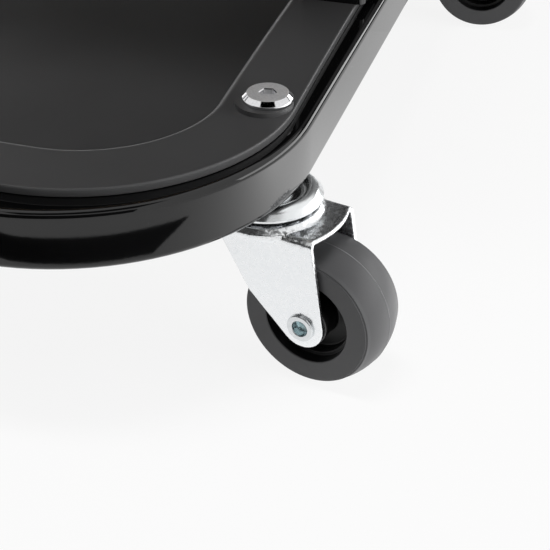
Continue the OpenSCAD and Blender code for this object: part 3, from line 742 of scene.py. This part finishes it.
def wheel_parts():
    """The wheel: crowned tread with its parting line, recessed web, step and hub, and a mould mark."""
    face_r = WHEEL_R - TREAD_DROP
    step_r, web_q = RECESS_R - RECESS_STEP, WEB_T / 2
    step_q = WHEEL_HALF_W - RECESS_STEP_DEPTH
    groove_q = WHEEL_HALF_W - GROOVE
    tread = []
    for i in range(1, TREAD_STEPS):
        q = (WHEEL_HALF_W - TREAD_EDGE) * (1 - i / TREAD_STEPS)
        tread.append((WHEEL_R - LINE_H - TREAD_DROP * (q / WHEEL_HALF_W) ** 2, q, 0))
    half = [(WHEEL_BORE_R, HUB_Q, WHEEL_BORE_ROUND), (HUB_R, HUB_Q, HUB_ROUND),
            (HUB_R - HUB_DRAFT, web_q, WEB_ROUND), (step_r, web_q, WEB_ROUND),
            (step_r, step_q, RECESS_STEP_ROUND), (RECESS_R - RECESS_DRAFT, step_q, RECESS_STEP_ROUND),
            (RECESS_R, WHEEL_HALF_W, RECESS_MOUTH_ROUND), (face_r - GROOVE, WHEEL_HALF_W, GROOVE_MOUTH_ROUND),
            (face_r - GROOVE_SLOPE, groove_q, GROOVE_FLOOR_ROUND),
            (face_r + GROOVE_SLOPE, groove_q, TREAD_ROUND), *tread,
            (WHEEL_R - LINE_H, LINE_W, 0), (WHEEL_R, LINE_W / 3, 0)]
    body = lathe(filleted(half + [(r, -q, f) for r, q, f in reversed(half)]))
    mark = [(MARK_IN_R, 0, 0), (MARK_OUT_R, 0, 0), (MARK_OUT_R - MARK_SLOPE, MARK_H, 0),
            (MARK_IN_R + MARK_SLOPE, MARK_H, 0)]
    place = (Matrix.Rotation(MARK_TURN, 4, "Z")
             @ Matrix.Translation(((RECESS_R + face_r) / 2, 0, WHEEL_HALF_W - MARK_SINK)))
    return [body, moved(lathe(filleted(mark), steps=MARK_STEPS), place)]


def vary_wheel(wheel, axle):
    """Paints shade on the wheel's recess, web and hub with a near-black copy of its plastic, and gives its parting
    line a lighter grey.
    """
    wheel.data.materials.append(RECESS_SHADE)
    wheel.data.materials.append(PALE_LINE)
    back = axle.inverted()
    for face in wheel.data.polygons:
        x, y, q = back @ face.center
        r = math.hypot(x, y)
        # Faces inside the recess get the painted shade
        if r < RECESS_R - SHADE_MARGIN_R and abs(q) < WHEEL_HALF_W - SHADE_MARGIN_Q:
            face.material_index = 1
        elif r > WHEEL_R - LINE_H and abs(q) < LINE_W:
            face.material_index = 2


def fork_mesh(node, into_local):
    """A copy of a fork, remeshed so finely that its folds and edges come out round."""
    mesh = welded(node, "fork_shell", WELD)
    mesh.transform(into_local)
    piece = placed("fork_shell", mesh)
    remesh(piece, FORK_VOXEL)
    ease(piece, FORK_EASE_TIMES)
    fine = bake(piece)
    bpy.data.objects.remove(piece)
    return fine


def build_fork(corner, source, turn):
    """One fork, of the mesh that all four share, turned to its heading."""
    mesh = source.copy()
    mesh.transform(turn)
    mesh.materials.clear()
    mesh.materials.append(ZINC)
    fork = placed("fork_" + corner + "_piece", mesh)
    dress(fork, FORK_SHARP)
    fitted(fork, "caster_" + corner, ["fork_" + corner])


def build_casters():
    """All four casters; each is made in its own axes and turned to its heading."""
    local_fork = None
    for corner in ("front_right", "front_left", "rear_right", "rear_left"):
        swivel = Vector(joints["swivel_" + corner]["pos_m"])
        roll = Vector(joints["roll_" + corner]["pos_m"])
        heading = math.atan2(roll.y - swivel.y, roll.x - swivel.x)
        turn = Matrix.Translation((swivel.x, swivel.y, 0)) @ Matrix.Rotation(heading, 4, "Z")
        trail = math.hypot(roll.x - swivel.x, roll.y - swivel.y)
        axle = turn @ Matrix.Translation((trail, 0, roll.z)) @ Matrix.Rotation(math.pi / 2, 4, "X")
        caster, roller = "caster_" + corner, "roller_" + corner
        for name, parts, place, body, finish_of, slot in (
                ("cap_", [cap_part()], turn, "root", TURNED_ZINC, "zinc_plate"),
                ("stem_", [stem_part()], turn, "root", TURNED_ZINC, "zinc_plate"),
                ("axle_", [axle_part()], axle, caster, RIVET, "zinc_plate"),
                ("wheel_", wheel_parts(), axle, roller, WHEEL, "wheel_plastic")):
            shaped = [moved(part, place) for part in parts]
            made = solid(name + corner + "_piece", shaped, finish_of, body, [name + corner])
            if name == "wheel_":
                vary_wheel(made, axle)
        bores = [moved(bore_part(side), axle) for side in (1, -1)]
        solid("bore_" + corner, bores, BLUE_ZINC, caster)
        if local_fork is None:
            local_fork = fork_mesh("fork_" + corner, turn.inverted())
        build_fork(corner, local_fork, turn)


# Seat

def inflate(piece, held):
    """Blows a closed mesh up as cloth; held points stay, and none moves more than BLOW_CAP."""
    rest = [v.co.copy() for v in piece.data.vertices]
    group = piece.vertex_groups.new(name="held")
    group.add([i for i, p in enumerate(rest) if held(p)], 1.0, "REPLACE")
    cloth = piece.modifiers.new("blow", "CLOTH")
    cloth.settings.use_pressure = True
    cloth.settings.uniform_pressure_force = BLOW_PRESSURE
    cloth.settings.effector_weights.gravity = 0
    cloth.settings.vertex_group_mass = "held"
    cloth.point_cache.frame_start = 1
    cloth.point_cache.frame_end = BLOW_FRAMES
    scene = bpy.context.scene
    for step in range(1, BLOW_FRAMES + 1):
        scene.frame_set(step)
    blown = piece.evaluated_get(bpy.context.evaluated_depsgraph_get()).data
    after = [v.co.copy() for v in blown.vertices]
    piece.modifiers.remove(cloth)
    scene.frame_set(1)
    for vertex, p, q in zip(piece.data.vertices, rest, after):
        step = q - p
        vertex.co = p + step * min(1.0, BLOW_CAP / max(step.length, WELD))


def draw_in(mesh, seam_z):
    """Draws the cushion in along its seam, with small folds, and lets its top swell unevenly."""
    for vertex in mesh.vertices:
        p = vertex.co
        edge = max(abs(p.x) - BOARD_HX, abs(p.y) - BOARD_HY)
        off = abs(p.z - seam_z)
        if off < 2 * SEAM_REACH and edge > -SEAM_EDGE:
            along = math.atan2(p.y, p.x) * FOLD_COUNT + FOLD_WANDER * noise.noise(p * FOLD_RATE)
            out = Vector((p.x, p.y, 0)).normalized()
            groove = SEAM_DEPTH * math.exp(-((off / SEAM_W) ** 2))
            pull = FOLD_DEPTH * math.exp(-((off / SEAM_REACH) ** 2) * FOLD_FADE)
            vertex.co -= out * (groove + pull * math.sin(along))
        if p.z > seam_z + SEAM_REACH:
            vertex.co.z += SWELL_H * noise.noise(p * SWELL_RATE)
        vertex.co.z = max(vertex.co.z, cushion_low.z)


def cushion_piece():
    """The cushion: the CAD form remeshed, blown up, eased and drawn in along its seam."""
    mesh = welded("seat_cushion", "seat_pad", CUSHION_WELD)
    for vertex in mesh.vertices:
        flat = Vector((vertex.co.x, vertex.co.y, 0))
        vertex.co -= flat.normalized() * CUSHION_TUCK * min(1, flat.length / BOARD_HX)
    piece = placed("seat_pad", mesh)
    remesh(piece, CUSHION_VOXEL)
    bake(piece)
    inflate(piece, lambda p: p.z < cushion_low.z + BLOW_HELD_H)
    ease(piece, CUSHION_EASE_TIMES)
    refine = piece.modifiers.new("refine", "SUBSURF")
    refine.levels = 1
    refine.render_levels = 1
    fine = bake(piece)
    seam_z = cushion_low.z + SEAM_SHARE * CUSHION_SIDE
    draw_in(fine, seam_z)
    fine.materials.clear()
    fine.materials.append(VINYL)
    dress(piece, CUSHION_SHARP)
    fitted(piece, "root", ["seat_cushion"])
    return piece, seam_z


def on_surface(tree, x, y, z):
    """The point of a surface straight in from outside at (x, y), and its normal."""
    out = Vector((x, y, 0)).normalized()
    far = Vector((x, y, z)) + out * OUTSIDE
    hit, normal, _, _ = tree.ray_cast(far, -out)
    return (hit, normal) if hit else (Vector((x, y, z)), out)


def build_seam(piece, seam_z):
    """A welt along the cushion's upper edge and a row of stitches below it."""
    bpy.context.view_layer.update()
    mesh = piece.data
    tree = BVHTree.FromPolygons([v.co for v in mesh.vertices], [p.vertices for p in mesh.polygons])
    loop = outline(BOARD_HX, BOARD_HY, BOARD_CORNER_R)
    welt = [on_surface(tree, x, y, seam_z)[0] for x, y in loop]
    solid("seat_welt", [rod(welt, WELT_R, closed=True)], VINYL, "root")
    line = [on_surface(tree, x, y, seam_z - STITCH_BELOW) for x, y in loop]
    foot = Vector((0, 0, 0))
    parts = [bridge(middle, ahead * STITCH_HALF, foot, line[i][1] * STITCH_RISE, STITCH_CROWN_SHARE, STITCH_R)
             for i, middle, ahead in spaced([p for p, _ in line], STITCH_PITCH)]
    solid("seat_stitches", parts, THREAD, "root")


def pleat(x, y):
    """How far the folded cover hangs down in its pleats at (x, y), which only the board's corners have."""
    corner = Vector((abs(x) - BOARD_HX + BOARD_CORNER_R, abs(y) - BOARD_HY + BOARD_CORNER_R))
    if corner.x <= 0 or corner.y <= 0:
        return 0.0
    return PLEAT_DEPTH * (0.5 - 0.5 * math.cos(PLEAT_RATE * math.atan2(corner.y, corner.x)))


def build_cover():
    """The cover's lower edge: round the board, folded under it with pleats at the corners, and stapled."""
    low = board_low.z - COVER_T
    top = board_high.z + HEM_RISE
    out = COVER_T + HEM_SIDE_GAP
    over = board_high.z + HEM_FLAT_GAP
    under = board_low.z - HEM_FLAT_GAP
    section = filleted([
        (out, top, HEM_TOP_ROUND), (-HEM_LIP_W, top, HEM_LIP_ROUND), (-HEM_LIP_W, over, HEM_LIP_INNER_ROUND),
        (HEM_SIDE_GAP, over, HEM_LIP_INNER_ROUND), (HEM_SIDE_GAP, under, HEM_FOLD_ROUND),
        (-HEM_W, under, HEM_FOLD_ROUND), (-HEM_W, low, HEM_END_ROUND), (out, low, HEM_LOW_ROUND)])
    rings = []
    for offset, z in section:
        loop = outline(BOARD_HX + offset, BOARD_HY + offset, BOARD_CORNER_R + offset)
        folded = z < board_low.z - COVER_T / 2 and offset < 0
        rings.append([(x, y, z - (pleat(x, y) if folded else 0.0)) for x, y in loop])
    solid("seat_hem", [skin(rings, ring_shaped=True)], VINYL, "root", ["cover_skirt"])
    inset = outline(BOARD_HX - STAPLE_IN, BOARD_HY - STAPLE_IN, BOARD_CORNER_R - STAPLE_IN)
    foot = Vector((0, 0, STAPLE_RISE))
    parts = [bridge(middle, ahead * STAPLE_HALF, foot, -foot, STAPLE_CROWN_SHARE, STAPLE_R)
             for _, middle, ahead in spaced([Vector(p) for p in level(inset, low)], STAPLE_PITCH)]
    solid("hem_staples", parts, STEEL, "root")


def dress_nodes():
    """Materials for the CAD nodes that stay as they are."""
    by_slot = {"frame_paint": PAINT, "tray_plastic": TRAY, "bolt_steel": BOLT, "black_washer": BLACK_OXIDE,
               "inner_steel": STEEL, "zinc_plate": ZINC, "wheel_plastic": WHEEL, "seat_vinyl": VINYL,
               "plywood": BOARD}
    for part in frame["record"]["subparts"]:
        mesh = frame["nodes"][part["node"]].data
        mesh.materials.clear()
        mesh.materials.append(by_slot[part["material_slot"]])


# Studio

# The photo's camera: its place from the front right caster's, where it looks, and its lens in millimetres
CAMERA_FROM_CASTER = Vector((118.86 * MM, -382.4 * MM, 298.7 * MM))
LOOK = Vector((-0.2414, 0.7945, -0.5572))
LENS = 94.6
SENSOR = 36.0
NEAREST = 10 * MM

# The floor: its half width, its grey, and the share of plain glow that the background's rays see
FLOOR_HALF = 30.0
FLOOR_GREY = 0.88
FLOOR_GLOW_SHARE = 0.88

# The sky's strength for diffuse rays, and for the background's
SKY_DIFFUSE, SKY_SEEN = 0.12, 1.0

# The floor's bright spot as gloss sees it: its place, radius, height, and strengths at its rim and middle
SPOT_X, SPOT_Y, SPOT_R = 0.315, -0.082, 0.2
SPOT_Z = 0.5 * MM
SPOT_RIM, SPOT_MIDDLE = 0.97, 3.4

# The painted shadow of the ring on the floor, a dark strip that the tube mirrors: it follows the ring's front and
# right corner through STRIP_TURN degrees, and slims away over its last steps
STRIP_NEAR, STRIP_FAR = 181 * MM, 204 * MM
STRIP_Z = 1 * MM
STRIP_START_X = -0.6
STRIP_TURN = 63
STRIP_STEPS = 24
STRIP_SLIM_FROM = 18

# Cards that gloss mirrors, as (name, glow, ends of the lower or nearer edge, ends of the other edge)
CARDS = (
    ("room_flag", 0.0, [(-1.6, -1.7, 0.12), (1.6, -1.7, 0.12)], [(-1.6, -1.5, 1.3), (1.6, -1.5, 1.3)]),
    ("back_flag", 0.0, [(-0.35, 0.45, 0.16), (0.1, 0.45, 0.16)], [(-0.35, 0.45, 0.85), (0.1, 0.45, 0.85)]),
    ("back_grey", 0.16, [(0.1, 0.45, 0.1), (0.35, 0.45, 0.1)], [(0.1, 0.45, 0.75), (0.35, 0.45, 0.75)]),
    ("rear_glow", 2.6, [(-0.9, 0.46, 0.09), (-0.05, 0.46, 0.09)],
     [(-0.9, 0.46, 0.145), (-0.05, 0.46, 0.145)]),
    ("side_glow", 4.0, [(1.2, -0.08, 0.15), (0.62, 1.0, 0.2)], [(1.2, -0.08, 0.5), (0.62, 1.0, 0.5)]),
    ("rear_flag", 0.0, [(0.3, 1.1, 0.0), (1.3, 1.1, 0.0)], [(0.3, 1.1, 0.9), (1.3, 1.1, 0.9)]),
    ("ceiling_flag", 0.0, [(0.741, -0.247, 1.19), (-0.253, -0.553, 1.19)],
     [(0.92, -0.824, 1.19), (-0.074, -1.13, 1.19)]))

# Lamps, as (name, place, what it is aimed at, width, height, watts)
LAMPS = (
    ("top", (0.0, -0.42, 1.9), (0.05, -0.1, 0.1), 0.8, 0.3, 15),
    ("front", (-0.55, -1.5, 0.5), (0.05, -0.15, 0.07), 1.2, 0.6, 3),
    ("side", (1.45, -0.15, 0.27), (0.15, -0.15, 0.08), 1.2, 0.3, 23))


def facing(direction):
    """The rotation of a camera or lamp that looks along a direction."""
    return direction.to_track_quat("-Z", "Y").to_euler()


def build_camera():
    """The photo's camera, placed from the front right caster."""
    data = bpy.data.cameras.new("camera")
    data.lens = LENS
    data.sensor_width = SENSOR
    data.clip_start = NEAREST
    camera = placed("camera", data)
    swivel = joints["swivel_front_right"]["pos_m"]
    camera.location = Vector((swivel[0], swivel[1], 0)) + CAMERA_FROM_CASTER
    camera.rotation_euler = facing(LOOK)
    bpy.context.scene.camera = camera


def card(name, near, far, material):
    """A flat stage piece between two rows of points."""
    count = len(near)
    mesh = bpy.data.meshes.new(name)
    mesh.from_pydata(near + far, [], [(i, i + 1, count + i + 1, count + i) for i in range(count - 1)])
    mesh.materials.append(material)
    made = placed(name, mesh)
    return made


def square_card(name, x, y, half, z, material):
    """A level square card, half as wide each way round (x, y)."""
    return card(name, [(x - half, y - half, z), (x + half, y - half, z)],
                [(x - half, y + half, z), (x + half, y + half, z)], material)


def background_rays(tree):
    """1 for rays from the camera, from gloss and through glass, and 0 for the rest."""
    path = tree.nodes.new("ShaderNodeLightPath")
    total = path.outputs["Is Camera Ray"]
    for name in ("Is Glossy Ray", "Is Transmission Ray"):
        more = tree.nodes.new("ShaderNodeMath")
        more.operation = "MAXIMUM"
        link(tree, total, more.inputs[0])
        link(tree, path.outputs[name], more.inputs[1])
        total = more.outputs[0]
    return total


def build_floor():
    """A plain white floor that keeps a soft shadow."""
    white = bpy.data.materials.new("floor_white")
    white.use_nodes = True
    tree = white.node_tree
    tree.nodes.clear()
    matt = tree.nodes.new("ShaderNodeBsdfDiffuse")
    matt.inputs["Color"].default_value = (FLOOR_GREY, FLOOR_GREY, FLOOR_GREY, 1)
    glow = tree.nodes.new("ShaderNodeEmission")
    glow.inputs["Color"].default_value = (1, 1, 1, 1)
    blend = tree.nodes.new("ShaderNodeMixShader")
    out = tree.nodes.new("ShaderNodeOutputMaterial")
    link(tree, ramped(tree, background_rays(tree), 0.0, FLOOR_GLOW_SHARE), blend.inputs[0])
    link(tree, matt.outputs[0], blend.inputs[1])
    link(tree, glow.outputs[0], blend.inputs[2])
    link(tree, blend.outputs[0], out.inputs["Surface"])
    square_card("floor", 0.0, 0.0, FLOOR_HALF, 0, white)


def glowing(name, strength):
    """A plain emitter; at strength 0 it is a black that gives nothing back."""
    made = bpy.data.materials.new(name)
    made.use_nodes = True
    tree = made.node_tree
    tree.nodes.clear()
    glow = tree.nodes.new("ShaderNodeEmission")
    glow.inputs["Strength"].default_value = strength
    link(tree, glow.outputs[0], tree.nodes.new("ShaderNodeOutputMaterial").inputs["Surface"])
    return made


def glow_spot():
    """The floor's brighter spot beside the ring's corner, fading into its white."""
    made = glowing("floor_glow", 1.0)
    tree = made.node_tree
    place = tree.nodes.new("ShaderNodeTexCoord").outputs["Object"]
    centred = tree.nodes.new("ShaderNodeMapping")
    centred.inputs["Location"].default_value = (-SPOT_X / SPOT_R, -SPOT_Y / SPOT_R, 0)
    centred.inputs["Scale"].default_value = (1 / SPOT_R, 1 / SPOT_R, 0)
    link(tree, place, centred.inputs["Vector"])
    spot = tree.nodes.new("ShaderNodeTexGradient")
    spot.gradient_type = "QUADRATIC_SPHERE"
    link(tree, centred.outputs[0], spot.inputs["Vector"])
    emitter = next(n for n in tree.nodes if n.type == "EMISSION")
    link(tree, ramped(tree, spot.outputs[1], SPOT_RIM, SPOT_MIDDLE), emitter.inputs["Strength"])
    return made


def shadow_strip_card(material):
    """A painted shadow of the ring: a dark strip on the floor in front of it and round its right corner."""
    corner_x, corner_y = RING_HX - RING_CORNER_R, -RING_HY + RING_CORNER_R
    near = [(STRIP_START_X, corner_y - STRIP_NEAR, STRIP_Z)]
    far = [(STRIP_START_X, corner_y - STRIP_FAR, STRIP_Z)]
    for step in range(STRIP_STEPS + 1):
        turn = math.radians(-90 + STRIP_TURN * step / STRIP_STEPS)
        slim = max(0.0, (step - STRIP_SLIM_FROM) / (STRIP_STEPS - STRIP_SLIM_FROM))
        for edge, r in ((near, STRIP_NEAR + slim * (STRIP_FAR - STRIP_NEAR)), (far, STRIP_FAR)):
            edge.append((corner_x + r * math.cos(turn), corner_y + r * math.sin(turn), STRIP_Z))
    return card("floor_shadow_strip", near, far, material)


def build_cards():
    """Cards that only gloss sees: black ones, glowing ones and the bright spot on the floor."""
    black = glowing("flag_black", 0.0)
    # The painted shadow of the ring on the floor, which only gloss sees
    cards = [shadow_strip_card(black)]
    for name, glow, near, far in CARDS:
        cards.append(card(name, near, far, glowing(name, glow) if glow else black))
    cards.append(square_card("floor_glow", SPOT_X, SPOT_Y, SPOT_R, SPOT_Z, glow_spot()))
    for made in cards:
        made.visible_camera = False
        made.visible_diffuse = False
        made.visible_shadow = False
        made.visible_transmission = False


def build_lights():
    """A sky that lights little but is seen white, and three lamps that gloss doesn't see."""
    scene = bpy.context.scene
    scene.view_settings.view_transform = "Standard"
    world = bpy.data.worlds.new("studio")
    scene.world = world
    world.use_nodes = True
    tree = world.node_tree
    sky = tree.nodes["Background"]
    sky.inputs["Color"].default_value = (1, 1, 1, 1)
    link(tree, ramped(tree, background_rays(tree), SKY_DIFFUSE, SKY_SEEN), sky.inputs["Strength"])
    for name, place, aim, wide, high, power in LAMPS:
        data = bpy.data.lights.new(name, "AREA")
        data.shape = "RECTANGLE"
        data.size = wide
        data.size_y = high
        data.energy = power
        lamp = placed(name, data)
        lamp.visible_glossy = False
        lamp.location = place
        lamp.rotation_euler = facing(Vector(aim) - Vector(place))


dress_nodes()
build_camera()
build_floor()
build_cards()
build_lights()
build_ring()
build_arch("front_arch")
build_arch("rear_arch")
build_tray()
build_tray_bolts()
build_casters()
pad, seam_height = cushion_piece()
build_seam(pad, seam_height)
build_cover()

bpy.context.view_layer.update()
